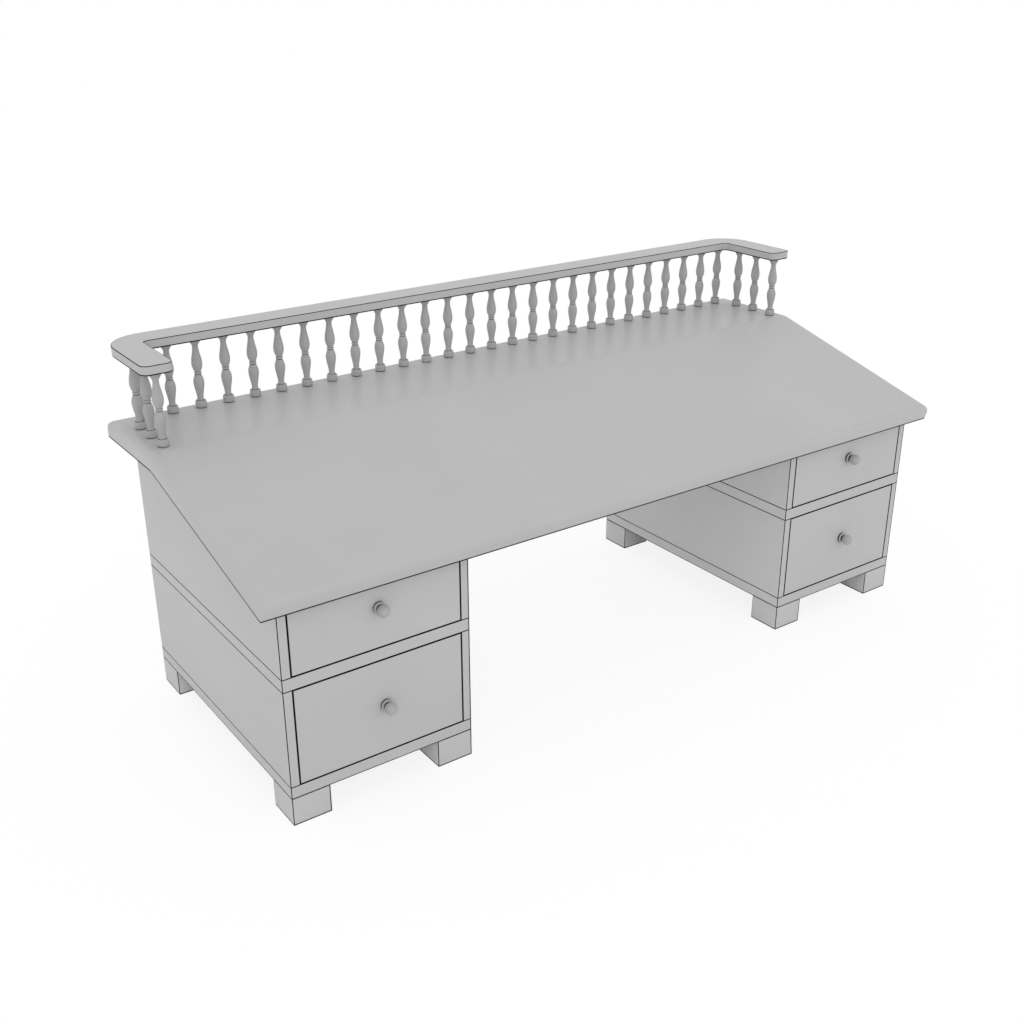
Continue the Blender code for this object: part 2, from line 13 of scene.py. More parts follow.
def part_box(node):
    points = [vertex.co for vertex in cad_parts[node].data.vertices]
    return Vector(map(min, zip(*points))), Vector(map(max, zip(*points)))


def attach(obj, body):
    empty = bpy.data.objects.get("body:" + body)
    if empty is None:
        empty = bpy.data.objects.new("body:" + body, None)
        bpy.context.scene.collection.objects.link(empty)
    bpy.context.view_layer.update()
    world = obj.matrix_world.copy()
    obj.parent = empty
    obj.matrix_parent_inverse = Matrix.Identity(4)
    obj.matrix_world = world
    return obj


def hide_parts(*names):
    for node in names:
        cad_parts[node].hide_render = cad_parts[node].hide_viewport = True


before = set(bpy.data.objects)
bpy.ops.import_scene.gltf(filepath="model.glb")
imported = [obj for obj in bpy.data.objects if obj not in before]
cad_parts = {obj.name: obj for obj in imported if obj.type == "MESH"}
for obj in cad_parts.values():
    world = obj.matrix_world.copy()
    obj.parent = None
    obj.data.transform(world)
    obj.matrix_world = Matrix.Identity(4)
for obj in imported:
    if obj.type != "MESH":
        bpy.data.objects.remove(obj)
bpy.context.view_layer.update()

# What counts as touching, as an arris, as a bend, and as looking along an axis
NEAR = 1e-5
WELD = 1e-6
SHARP = math.radians(40)
SLIGHT = math.radians(1)
SQUARE_ON = 0.9
HALF_ON = 0.5
EDGE_ON = 0.1

# Wear: width of a rubbed arris, the share of it that each kind of arris has, and rubbed bands; then how deep
# the drawer fronts' edges are painted dark, as painted shade in the gaps
ARRIS = 0.0018
ARRIS_STEPS = 2
ARRIS_SQUARENESS, ROUNDED = 0.8, 0.5
FULL, UNDER, FREE, SEAM, CRISP, NONE = 1.0, 0.75, 0.36, 0.22, 0.06, 0.0
FOOT_SCUFF, BASE_SCUFF = 0.0013, 0.0009
GAP_SHADE_DEPTH = 0.003

# Finishes of a piece, by its material slots; a strip of no slot takes the finish beside it
FIRST, BARED, THIRD, FOURTH = range(4)
BESIDE = -1

# Joinery
DRAWERS = ("upper_left_drawer", "lower_left_drawer", "upper_right_drawer", "lower_right_drawer")
KNEEHOLE_WIDTH = 0.419
GLUE_GAP = 0.0003
SIDE_LAP = 0.008
FRONT_LAP = 0.007
GROOVE_DEPTH = 0.004

# Desk top
TOP_THICKNESS = 0.0176
SHELF_DEPTH = 0.1136
SLOPE_ANGLE = math.radians(14.64)
TOP_FRONT_OVERHANG = 0.0122
TOP_EDGE_RADIUS, TOP_EDGE_STEPS = 0.0077, 6
BEND_EASE, BEND_STEPS = 0.004, 3
TOP_CORNER_EASE, TOP_CORNER_STEPS = 0.0006, 2

# Gallery
RAIL_WIDTH = 0.0305
RAIL_OUTER_RADIUS, RAIL_OUTER_STEPS = 0.038, 14
RAIL_INNER_RADIUS, RAIL_INNER_STEPS = 0.006, 6
RAIL_END_RADIUS, RAIL_END_STEPS = 0.0075, 6
ARM_ROOT = 0.002
ROW_END_INSET = 0.0286
ARM_END_INSET = 0.0117
SPINDLE_PITCH = 0.0297
BACK_ROW = 27
ARM_ROW = 3

# Turned pieces: flats round them, and heights of the creases and seats that are painted in the dark undercoat
# colour, as painted shade
SPINDLE_SIDES, KNOB_SIDES = 32, 40
SPINDLE_SHADE_RINGS = ((0.0001, 0.0008), (0.00755, 0.0078), (0.0343, 0.0347), (0.0372, 0.0376))
KNOB_SHADE_RINGS = ((0.0003, 0.0017), (0.0030, 0.0041))

# Brushed paint. Brush lines are finer than 1 mm and are drawn 2.2 mm wide so that they show in a render
BRUSH_LINE = 0.0022
BRUSH_RIDGE = 0.00003
LINES_IN_TONE = 0.35
TONE_DRIFT = 0.15
RUB_PATCH = 0.012

# Bare pine. Year rings of 2 to 4 mm are drawn 5 mm wide so that they show in a render.
# Fibres are thinner than 0.1 mm and are drawn 1.2 mm wide for the same reason
YEAR_RING = 0.005
RING_WAVER, RING_BEND = 0.05, 0.02
LATE_WOOD_FROM, LATE_WOOD_DEPTH = 0.3, 0.75
FIBRE = 0.0012
FIBRE_RIDGE = 0.00005
FIBRES_IN_TONE = 0.3

# Stretch of a pattern along the brush or the grain
DRAWN_OUT = 0.06
ALONG_X, ALONG_Y, ALONG_Z = (DRAWN_OUT, 1.0, 1.0), (1.0, DRAWN_OUT, 1.0), (1.0, 1.0, DRAWN_OUT)
ROUND = (DRAWN_OUT, DRAWN_OUT, 1.0)

# Studio
FILL = 0.93
KEY = 0.08
KEY_FROM = (-0.20, -0.90, 0.38)
KEY_SPREAD = math.radians(50)
WHITE = 1.0
FLOOR_SIZE = 12.0
FLOOR_SHADE = 0.15
FLOOR_LIFT = 0.865

# Photograph's camera
CAMERA_PLACE = (-0.7619, -1.0002, 0.7026)
CAMERA_YAW = math.radians(35.415)
CAMERA_PITCH = math.radians(23.861)
CAMERA_ROLL = math.radians(-0.171)
CAMERA_LENS = 43.695
CAMERA_SENSOR = 36.0


def linear(colour):
    """An sRGB hex colour in linear light."""
    shares = [int(colour[i : i + 2], 16) / 255 for i in (1, 3, 5)]
    return [s / 12.92 if s <= 0.04045 else ((s + 0.055) / 1.055) ** 2.4 for s in shares] + [1.0]


def add(tree, kind, settings, links=None):
    """Add a node, set its sockets and properties, and link its inputs."""
    node = tree.nodes.new(kind)
    for name, value in settings.items():
        if isinstance(name, int) or name in node.inputs:
            node.inputs[name].default_value = value
        else:
            setattr(node, name, value)
    for name, source in (links or {}).items():
        tree.links.new(source, node.inputs[name])
    return node


def material(name):
    """An empty material, its node tree and its shader."""
    made = bpy.data.materials.new(name)
    made.use_nodes = True
    return made, made.node_tree, made.node_tree.nodes["Principled BSDF"]


def brushed_eggshell(name, stretch, dark="#BABABA", light="#BFBFBF", sheen=0.12, gloss=(0.30, 0.42)):
    """Eggshell paint brushed on planed wood: even and pale, with faint brush lines along the board."""
    made, tree, shader = material(name)
    place = add(tree, "ShaderNodeTexCoord", {}).outputs["Object"]
    along = add(tree, "ShaderNodeMapping", {"Scale": stretch}, {"Vector": place}).outputs["Vector"]

    brushing = {"Scale": 1 / BRUSH_LINE, "Detail": 3.0, "Roughness": 0.55}
    lines = add(tree, "ShaderNodeTexNoise", brushing, {"Vector": along}).outputs["Fac"]
    clouds = {"Scale": 1 / TONE_DRIFT, "Detail": 2.0}
    drift = add(tree, "ShaderNodeTexNoise", clouds, {"Vector": place}).outputs["Fac"]
    sum_up = {"operation": "MULTIPLY_ADD", 1: LINES_IN_TONE}
    tone = add(tree, "ShaderNodeMath", sum_up, {0: lines, 2: drift}).outputs["Value"]
    spread = {"From Min": 0.4, "From Max": 0.95}
    share = add(tree, "ShaderNodeMapRange", spread, {"Value": tone}).outputs["Result"]
    greys = {"data_type": "RGBA", 6: linear(dark), 7: linear(light)}
    colour = add(tree, "ShaderNodeMix", greys, {0: share}).outputs[2]

    smooth, rough = gloss
    lustre = {"From Min": 0.3, "From Max": 0.7, "To Min": smooth, "To Max": rough}
    roughness = add(tree, "ShaderNodeMapRange", lustre, {"Value": lines}).outputs["Result"]
    relief = {"Strength": 0.6, "Distance": BRUSH_RIDGE}
    ridges = add(tree, "ShaderNodeBump", relief, {"Height": lines}).outputs["Normal"]

    tree.links.new(colour, shader.inputs["Base Color"])
    tree.links.new(roughness, shader.inputs["Roughness"])
    tree.links.new(ridges, shader.inputs["Normal"])
    shader.inputs["Specular IOR Level"].default_value = sheen
    return made


def worn_arris_undercoat_and_painted_shade():
    """Dark undercoat where hands have rubbed the paint off the arrises, also used as painted shade inside the
    bays, in the drawer gaps and in the creases of turned pieces: matt, a little worn in patches.
    """
    made, tree, shader = material("worn_arris_undercoat_and_painted_shade")
    place = add(tree, "ShaderNodeTexCoord", {}).outputs["Object"]
    rubbing = {"Scale": 1 / RUB_PATCH, "Detail": 4.0}
    patches = add(tree, "ShaderNodeTexNoise", rubbing, {"Vector": place}).outputs["Fac"]
    spread = {"From Min": 0.58, "From Max": 0.75}
    share = add(tree, "ShaderNodeMapRange", spread, {"Value": patches}).outputs["Result"]
    greys = {"data_type": "RGBA", 6: linear("#1A1A1A"), 7: linear("#484848")}
    colour = add(tree, "ShaderNodeMix", greys, {0: share}).outputs[2]
    tree.links.new(colour, shader.inputs["Base Color"])
    shader.inputs["Roughness"].default_value = 0.8
    shader.inputs["Specular IOR Level"].default_value = 0.15
    return made


def planed_pine(name, stretch, pith):
    """Planed pine left bare: straw-coloured early wood that darkens to late-wood lines along the board."""
    made, tree, shader = material(name)
    place = add(tree, "ShaderNodeTexCoord", {}).outputs["Object"]
    along = add(tree, "ShaderNodeMapping", {"Scale": stretch}, {"Vector": place}).outputs["Vector"]

    # Year rings: distance from the pith, a little wavy, counted in ring widths
    waving = {"Scale": 1 / RING_WAVER, "Detail": 1.0}
    waver = add(tree, "ShaderNodeTexNoise", waving, {"Vector": along}).outputs["Fac"]
    trunk = {"Location": pith, "Scale": stretch}
    log = add(tree, "ShaderNodeMapping", trunk, {"Vector": place}).outputs["Vector"]
    depth = add(tree, "ShaderNodeVectorMath", {"operation": "LENGTH"}, {0: log}).outputs["Value"]
    bend = {"operation": "MULTIPLY_ADD", 1: RING_BEND}
    bent = add(tree, "ShaderNodeMath", bend, {0: waver, 2: depth}).outputs["Value"]
    count = {"operation": "DIVIDE", 1: YEAR_RING}
    years = add(tree, "ShaderNodeMath", count, {0: bent}).outputs["Value"]
    year = add(tree, "ShaderNodeMath", {"operation": "FRACT"}, {0: years}).outputs["Value"]
    season = {"From Min": LATE_WOOD_FROM, "To Max": LATE_WOOD_DEPTH}
    late = add(tree, "ShaderNodeMapRange", season, {"Value": year}).outputs["Result"]

    grain = {"Scale": 1 / FIBRE, "Detail": 2.0}
    fibres = add(tree, "ShaderNodeTexNoise", grain, {"Vector": along}).outputs["Fac"]
    sum_up = {"operation": "MULTIPLY_ADD", 1: FIBRES_IN_TONE, "use_clamp": True}
    share = add(tree, "ShaderNodeMath", sum_up, {0: fibres, 2: late}).outputs["Value"]
    browns = {"data_type": "RGBA", 6: linear("#DEC49B"), 7: linear("#B98E5C")}
    colour = add(tree, "ShaderNodeMix", browns, {0: share}).outputs[2]

    lustre = {"To Min": 0.66, "To Max": 0.52}
    roughness = add(tree, "ShaderNodeMapRange", lustre, {"Value": late}).outputs["Result"]
    relief = {"Strength": 0.5, "Distance": FIBRE_RIDGE}
    ridges = add(tree, "ShaderNodeBump", relief, {"Height": fibres}).outputs["Normal"]

    tree.links.new(colour, shader.inputs["Base Color"])
    tree.links.new(roughness, shader.inputs["Roughness"])
    tree.links.new(ridges, shader.inputs["Normal"])
    shader.inputs["Specular IOR Level"].default_value = 0.3
    return made


# Paint: a little darker on the top and the gallery as painted shade, paler on the feet, under the pedestals
# and in the kneehole as painted light, and darker on the spindles and knobs as painted shade
paint_x = brushed_eggshell("eggshell_paint_brushed_along_x", ALONG_X)
paint_y = brushed_eggshell("eggshell_paint_brushed_along_y", ALONG_Y)
paint_top_painted_shade = brushed_eggshell(
    "eggshell_paint_brushed_along_top_painted_shade", ALONG_X, "#B8B8B8", "#BDBDBD", gloss=(0.28, 0.40)
)
paint_rail_painted_shade = brushed_eggshell("eggshell_paint_brushed_along_rail_painted_shade", ALONG_X, "#B6B6B6", "#BBBBBB")
paint_arm_painted_shade = brushed_eggshell("eggshell_paint_brushed_along_rail_arms_painted_shade", ALONG_Y, "#B6B6B6", "#BBBBBB")
paint_foot_painted_light = brushed_eggshell("eggshell_paint_brushed_on_feet_painted_light", ALONG_Z, "#C0C0C0", "#C5C5C5")
paint_painted_light_under_pedestals = brushed_eggshell("eggshell_paint_painted_light_under_pedestals", ALONG_Z, "#E2E2E2", "#E6E6E6")
paint_turned_painted_shade = brushed_eggshell("eggshell_paint_brushed_round_spindles_painted_shade", ROUND, "#AAAAAA", "#B2B2B2", 0.05)
paint_knob_painted_shade = brushed_eggshell("eggshell_paint_brushed_round_knobs_painted_shade", ROUND, "#A9A9A9", "#B0B0B0", 0.05)
paint_painted_light_in_kneehole = brushed_eggshell("eggshell_paint_painted_light_in_kneehole", ALONG_Y, "#D2D2D2", "#D7D7D7")
undercoat_and_painted_shade = worn_arris_undercoat_and_painted_shade()
pine_x = planed_pine("planed_pine_along_x", ALONG_X, pith=(0.0, 0.02, 0.09))
pine_y = planed_pine("planed_pine_along_y", ALONG_Y, pith=(0.03, 0.0, 0.12))


def block(name, low, high):
    """A squared-up length of wood between two corners."""
    bpy.ops.object.select_all(action="DESELECT")
    bpy.ops.mesh.primitive_cube_add(size=1.0)
    piece = bpy.context.object
    piece.name = piece.data.name = name
    piece.scale = Vector(high) - Vector(low)
    piece.location = (Vector(low) + Vector(high)) / 2
    bpy.ops.object.transform_apply(location=True, rotation=True, scale=True)
    return piece


def lies(**planes):
    """A test for edges and faces on planes such as y=0.1, or either_x=0.2 for a plane on each side."""

    def test(item):
        for name, value in planes.items():
            places = [getattr(corner.co, name[-1]) for corner in item.verts]
            level = -value if name.startswith("either_") and places[0] < 0 else value
            if any(abs(place - level) > NEAR for place in places):
                return False
        return True

    return test


def pick(piece, kind, test):
    """Enter edit mode with only those edges or faces selected that pass a test, and count them."""
    bpy.context.view_layer.objects.active = piece
    bpy.ops.object.mode_set(mode="EDIT")
    bpy.ops.mesh.select_mode(type=kind)
    bpy.ops.mesh.select_all(action="DESELECT")
    shape = bmesh.from_edit_mesh(piece.data)
    passed = [item for item in (shape.edges if kind == "EDGE" else shape.faces) if test(item)]
    for item in passed:
        item.select_set(True)
    bmesh.update_edit_mesh(piece.data)
    return len(passed)


def done():
    """Leave edit mode."""
    bpy.ops.object.mode_set(mode="OBJECT")


def split(piece, point, normal):
    """Run a line of edges round a piece where a plane crosses it."""
    pick(piece, "FACE", lambda face: True)
    bpy.ops.mesh.bisect(plane_co=point, plane_no=normal)
    done()


def pull(piece, test, move):
    """Extrude faces along a line."""
    pick(piece, "FACE", test)
    bpy.ops.mesh.extrude_region_move(TRANSFORM_OT_translate={"value": move})
    done()


def slide(piece, test, move):
    """Move edges along a line."""
    pick(piece, "EDGE", test)
    bpy.ops.transform.translate(value=move)
    done()


def round_over(piece, test, radius, steps):
    """Round some edges off."""
    pick(piece, "EDGE", test)
    bpy.ops.mesh.bevel(offset=radius, segments=steps, profile=ROUNDED, affect="EDGES")
    done()


def coat(piece, *finishes):
    """Give a piece its finishes, in order of its material slots."""
    for finish in finishes:
        piece.data.materials.append(finish)


def bare(piece, test, slot=BARED):
    """Give some faces the dark undercoat, as wear or as painted shade, or give them the finish of another
    slot.
    """
    pick(piece, "FACE", test)
    piece.active_material_index = slot
    bpy.ops.object.material_slot_assign()
    done()


def is_sharp(edge):
    """Whether an edge is an arris."""
    return len(edge.link_faces) == 2 and edge.calc_face_angle() > SHARP


def shave(piece, share_of, width, steps, squareness=ROUNDED, bared=BESIDE):
    """Bevel the edges of a piece, each by its share of a width, and let a slot's finish show there."""
    pick(piece, "EDGE", lambda edge: True)
    bpy.ops.transform.edge_bevelweight(value=-FULL)
    done()
    for share in (FULL, UNDER, FREE, SEAM, CRISP):
        if pick(piece, "EDGE", lambda edge: share_of(edge) == share):
            bpy.ops.transform.edge_bevelweight(value=share)
        done()
    bevel = piece.modifiers.new("shaved_edges", "BEVEL")
    bevel.width = width
    bevel.segments = steps
    bevel.profile = squareness
    bevel.limit_method = "WEIGHT"
    bevel.use_clamp_overlap = False
    bevel.material = bared
    bevel.harden_normals = True
    bpy.ops.object.select_all(action="DESELECT")
    bpy.context.view_layer.objects.active = piece
    piece.select_set(True)
    bpy.ops.object.shade_smooth()
    bpy.ops.object.modifier_apply(modifier=bevel.name)


def ease(piece, wear, bared=BARED):
    """Wear the arrises of a piece, each by its share of the full width, down to the undercoat."""

    def share_of(edge):
        return wear(edge) if is_sharp(edge) else NONE

    shave(piece, share_of, ARRIS, ARRIS_STEPS, ARRIS_SQUARENESS, bared)


def settle(piece, body, slot, *nodes):
    """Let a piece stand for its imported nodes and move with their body."""
    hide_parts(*nodes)
    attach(piece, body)


def seamed(edge, low, high):
    """Wear of an arris that lies in a joint all along."""
    return SEAM


def outside(edge, low, high):
    """Wear of an arris of a pedestal between two corners, most in front on its right."""
    if abs(edge.verts[0].co.z - edge.verts[1].co.z) < NEAR:
        return SEAM
    return UNDER if lies(x=high.x, y=low.y)(edge) else FREE


def standing(edge, low, high):
    """Wear of an arris of a base board, crisp along the bottom."""
    return CRISP if lies(z=low.z)(edge) else outside(edge, low, high)


def under_board(edge, low, high):
    """Wear of an arris of a foot, crisp where it meets the base board."""
    return CRISP if lies(z=high.z)(edge) else outside(edge, low, high)


def in_kneehole(face):
    """Whether a face of a pedestal looks into the kneehole."""
    middle = face.calc_center_median()
    return abs(abs(middle.x) - KNEEHOLE_WIDTH / 2) < NEAR and face.normal.x * middle.x < 0


def scuff(piece, low_z, height):
    """Rub a narrow band down to the undercoat along the lower edge of a piece."""
    split(piece, (0, 0, low_z + height), (0, 0, 1))
    bare(piece, lambda face: face.calc_center_median().z < low_z + height)


def pedestal_of(node):
    """Lowest and highest corner of the base board of a node's pedestal."""
    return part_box(f"{node.split('_')[0]}_base_board")


def board(node, finish, wear, inside, scuffed=False):
    """A plain board of a pedestal, painted dark on the faces inside it as painted shade, and paler on faces
    in the kneehole as painted light.
    """
    low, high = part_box(node)
    piece = block(f"{node}_board", low, high)
    coat(piece, finish, undercoat_and_painted_shade, paint_painted_light_in_kneehole)
    # Faces inside the bays are painted dark, as painted shade in the drawer gaps
    bare(piece, inside)
    # Faces looking into the kneehole get a paler paint, as painted light against the shade there
    bare(piece, in_kneehole, THIRD)
    if scuffed:
        scuff(piece, low.z, BASE_SCUFF)
    corners = pedestal_of(node)
    ease(piece, lambda edge: wear(edge, *corners))
    settle(piece, "desk", "painted_wood", node)


def upper_side(node, bend_y, front_top, inside):
    """A side of the upper bay, sawn to the slope of the top."""
    low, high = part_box(node)
    piece = block(f"{node}_board", low, high)
    split(piece, (0, bend_y, 0), (0, 1, 0))
    slide(piece, lies(y=low.y, z=high.z), (0, 0, front_top - high.z))
    coat(piece, paint_y, undercoat_and_painted_shade, paint_painted_light_in_kneehole)
    # Faces inside the bays are painted dark, as painted shade in the drawer gaps
    bare(piece, inside)
    # Faces looking into the kneehole get a paler paint, as painted light against the shade there
    bare(piece, in_kneehole, THIRD)
    corners = pedestal_of(node)
    ends = (lies(y=low.y), lies(y=high.y))
    ease(piece, lambda edge: outside(edge, *corners) if any(end(edge) for end in ends) else SEAM)
    settle(piece, "desk", "painted_wood", node)


def foot(node):
    """A block foot under a base board."""
    base_low, base_high = pedestal_of(node)
    low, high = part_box(node)
    high = Vector((high.x, high.y, base_low.z - GLUE_GAP))
    middle = (base_low + base_high) / 2

    def looks_at(face, inward, axis):
        return abs(face.normal[axis]) > SQUARE_ON and face.normal[axis] * inward[axis] > 0

    def under_pedestal(face):
        inward = middle - face.calc_center_median()
        return any(looks_at(face, inward, axis) for axis in (0, 1))

    piece = block(f"{node}_block", low, high)
    # The feet's paint is paler than the boards', as painted light against the shade near the floor
    coat(piece, paint_foot_painted_light, undercoat_and_painted_shade, paint_painted_light_in_kneehole, paint_painted_light_under_pedestals)
    # Faces looking into the kneehole get a paler paint, as painted light against the shade there
    bare(piece, in_kneehole, THIRD)
    # Faces looking in under the pedestal get a near-white paint, as painted light against the shade there
    bare(piece, under_pedestal, FOURTH)
    scuff(piece, low.z, FOOT_SCUFF)
    ease(piece, lambda edge: under_board(edge, low, high))
    settle(piece, "desk", "painted_wood", node)


def pedestals(bend_low):
    """The fixed boards and feet of both pedestals."""

    def looks_up(face):
        return face.normal.z > SQUARE_ON

    def lies_flat(face):
        return abs(face.normal.z) > SQUARE_ON

    def looks_forward(face):
        return face.normal.y < -SQUARE_ON

    for side, name in ((-1, "left"), (1, "right")):
        # Each board gets a test for its faces inside the bays, which are painted dark as painted shade
        board(f"{name}_base_board", paint_y, standing, looks_up, scuffed=True)
        board(f"{name}_middle_board", paint_y, outside, lies_flat)
        for edge, inward in (("inner", side), ("outer", -side)):

            def in_bay(face):
                return face.normal.x * inward > SQUARE_ON

            board(f"{name}_lower_{edge}_side", paint_y, outside, in_bay)
            low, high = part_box(f"{name}_upper_{edge}_side")
            drop = (bend_low.y - low.y) * math.tan(SLOPE_ANGLE)
            upper_side(f"{name}_upper_{edge}_side", bend_low.y, high.z - drop, in_bay)
            for end in ("front", "rear"):
                foot(f"{name}_{end}_{edge}_foot")
        for bay in ("lower", "upper"):
            board(f"{name}_{bay}_back", paint_x, seamed, looks_forward)


def cleats():
    """The cleats that hold the top, packed as they look, in bare pine."""
    for side in ("left", "right"):
        for edge in ("inner", "outer"):
            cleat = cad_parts[f"{side}_{edge}_cleat"]
            cleat.data.materials.clear()
            cleat.data.materials.append(pine_y)


def desk_top():
    """The top: a flat shelf and a writing slope in one board, rounded over along its upper edges."""
    low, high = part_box("desk_top")
    half, rear_y, shelf_top = high.x, high.y, high.z
    underside = shelf_top - TOP_THICKNESS
    front_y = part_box("left_base_board")[0].y - TOP_FRONT_OVERHANG
    bend_low = Vector((0, rear_y - SHELF_DEPTH, underside))
    bend_high = Vector((0, bend_low.y - TOP_THICKNESS * math.tan(SLOPE_ANGLE / 2), shelf_top))
    front_low = Vector((0, front_y, underside - (bend_low.y - front_y) * math.tan(SLOPE_ANGLE)))
    front_high = front_low + TOP_THICKNESS * Vector((0, -math.sin(SLOPE_ANGLE), math.cos(SLOPE_ANGLE)))

    piece = block("desk_top_board", (-half, bend_low.y, underside), (half, rear_y, shelf_top))
    slide(piece, lies(y=bend_low.y, z=shelf_top), bend_high - bend_low - Vector((0, 0, TOP_THICKNESS)))
    reach = front_low - bend_low
    pull(piece, lambda face: face.normal.y < -SQUARE_ON, reach)
    slide(piece, lies(y=bend_high.y + reach.y), front_high - bend_high - reach)

    rise = (bend_high - bend_low).normalized()
    across = Vector((0, rise.z, -rise.y))

    def on_rim(edge):
        rises = sorted(face.normal.z for face in edge.link_faces)
        return rises[-1] > SQUARE_ON > rises[0]

    def underneath(edge):
        return min(face.normal.z for face in edge.link_faces) < -SQUARE_ON

    def on_bend(edge):
        level = all(abs((corner.co - bend_low).dot(across)) < NEAR for corner in edge.verts)
        return level and not underneath(edge) and edge.calc_face_angle() > SLIGHT

    def at_corner(edge):
        turns = [max(abs(face.normal[axis]) for face in edge.link_faces) for axis in (0, 1)]
        above = all(face.normal.z > -HALF_ON for face in edge.link_faces)
        return is_sharp(edge) and min(turns) > HALF_ON and above

    # The top's paint is a little darker than the boards', as painted shade
    coat(piece, paint_top_painted_shade, undercoat_and_painted_shade)
    shave(piece, lambda edge: FULL if on_rim(edge) else NONE, TOP_EDGE_RADIUS, TOP_EDGE_STEPS)
    shave(piece, lambda edge: FULL if on_bend(edge) else NONE, BEND_EASE, BEND_STEPS)
    ease(piece, lambda edge: FULL if underneath(edge) else NONE)
    shave(piece, lambda edge: FULL if at_corner(edge) else NONE, TOP_CORNER_EASE, TOP_CORNER_STEPS)
    settle(piece, "desk", "painted_wood", "desk_top")
    return bend_low


def gallery_rail():
    """The rail: a back rail with two arms, cut from flat stock."""
    low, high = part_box("gallery_rail")
    inner_x, inner_y = high.x - RAIL_WIDTH, high.y - RAIL_WIDTH

    def arm_start(face):
        return face.normal.y < -SQUARE_ON and abs(face.calc_center_median().x) > inner_x

    piece = block("gallery_rail_board", (low.x, inner_y, low.z), high)
    for x in (-inner_x, inner_x):
        split(piece, (x, 0, 0), (1, 0, 0))
    pull(piece, arm_start, (0, low.y - inner_y, 0))
    pick(piece, "FACE", lambda face: True)
    bpy.ops.mesh.dissolve_limited(angle_limit=SLIGHT)
    done()
    round_over(piece, lies(either_x=high.x, y=high.y), RAIL_OUTER_RADIUS, RAIL_OUTER_STEPS)
    round_over(piece, lies(either_x=inner_x, y=inner_y), RAIL_INNER_RADIUS, RAIL_INNER_STEPS)
    for x in (high.x, inner_x):
        round_over(piece, lies(either_x=x, y=low.y), RAIL_END_RADIUS, RAIL_END_STEPS)

    root_x, root_y = high.x - RAIL_OUTER_RADIUS - ARM_ROOT, high.y - RAIL_OUTER_RADIUS - ARM_ROOT
    for x in (-root_x, root_x):
        split(piece, (x, 0, 0), (1, 0, 0))
    split(piece, (0, root_y, 0), (0, 1, 0))
    # The rail's paint is a little darker than the boards', on the back rail and the arms, as painted shade
    coat(piece, paint_rail_painted_shade, undercoat_and_painted_shade, paint_arm_painted_shade)
    bare(piece, lambda face: face.calc_center_median().y < root_y, THIRD)
    ease(piece, lambda edge: UNDER if lies(z=low.z)(edge) else FREE)
    settle(piece, "desk", "painted_wood", "gallery_rail")


def turned(name, profile, sides):
    """Turn a profile of (radius, height) points about the Z axis, as on a lathe."""
    bpy.ops.object.select_all(action="DESELECT")
    bpy.ops.mesh.primitive_plane_add()
    piece = bpy.context.object
    piece.name = piece.data.name = name
    bpy.ops.object.mode_set(mode="EDIT")
    bpy.ops.mesh.select_mode(type="VERT")
    bpy.ops.mesh.select_all(action="SELECT")
    # One point of the plane is left, and the outline is drawn out of it
    bpy.ops.mesh.merge(type="CENTER")
    last = Vector((0, 0, 0))
    for step, (radius, height) in enumerate(profile):
        point = Vector((radius, 0, height))
        if step == 0:
            bpy.ops.transform.translate(value=point - last)
        else:
            bpy.ops.mesh.extrude_region_move(TRANSFORM_OT_translate={"value": point - last})
        last = point
    bpy.ops.mesh.select_all(action="SELECT")
    bpy.ops.mesh.spin(steps=sides, angle=math.tau, center=(0, 0, 0), axis=(0, 0, 1))
    bpy.ops.mesh.select_all(action="SELECT")
    bpy.ops.mesh.remove_doubles(threshold=WELD)
    bpy.ops.mesh.normals_make_consistent(inside=False)
    done()
    return piece


def ringed(rings):
    """A test for faces of a turned piece between heights of its rings."""

    def test(face):
        height = face.calc_center_median().z
        return any(start <= height <= end for start, end in rings)

    return test


def copied(piece, name, move):
    """A copy of a finished piece somewhere else, with its own mesh."""
    bpy.ops.object.select_all(action="DESELECT")
    bpy.context.view_layer.objects.active = piece
    piece.select_set(True)
    bpy.ops.object.duplicate(linked=False)
    copy = bpy.context.object
    copy.name = copy.data.name = name
    bpy.ops.transform.translate(value=move)
    bpy.ops.object.transform_apply(location=True, rotation=True, scale=True)
    return copy


def curve(start, end, steps, law):
    """Points between two (radius, height) points, without the first, by a law of how the radius goes over."""
    points = []
    for step in range(1, steps + 1):
        share = step / steps
        radius = start[0] + (end[0] - start[0]) * law(share)
        points.append((radius, start[1] + (end[1] - start[1]) * share))
    return points


def arc(centre, radius, start, end, steps):
    """Points of an arc about a (radius, height) centre, from one angle to another in degrees."""
    points = []
    for step in range(steps + 1):
        angle = math.radians(start + (end - start) * step / steps)
        points.append((centre[0] + radius * math.cos(angle), centre[1] + radius * math.sin(angle)))
    return points


def long_swell(share):
    """Law of a long, slow swelling, hollow at the thin end and full at the thick one."""
    return (1 - math.cos(math.pi * share)) / 2


def filling(share):
    """Law of a short, round swelling, out from a crease."""
    return math.sin(math.pi / 2 * share)


def closing(share):
    """Law of a short, round swelling, in to a crease."""
    return 1 - math.cos(math.pi / 2 * share)


def flaring(share):
    """Law of a hollow flare, steep at first and wide at last."""
    return share**1.5


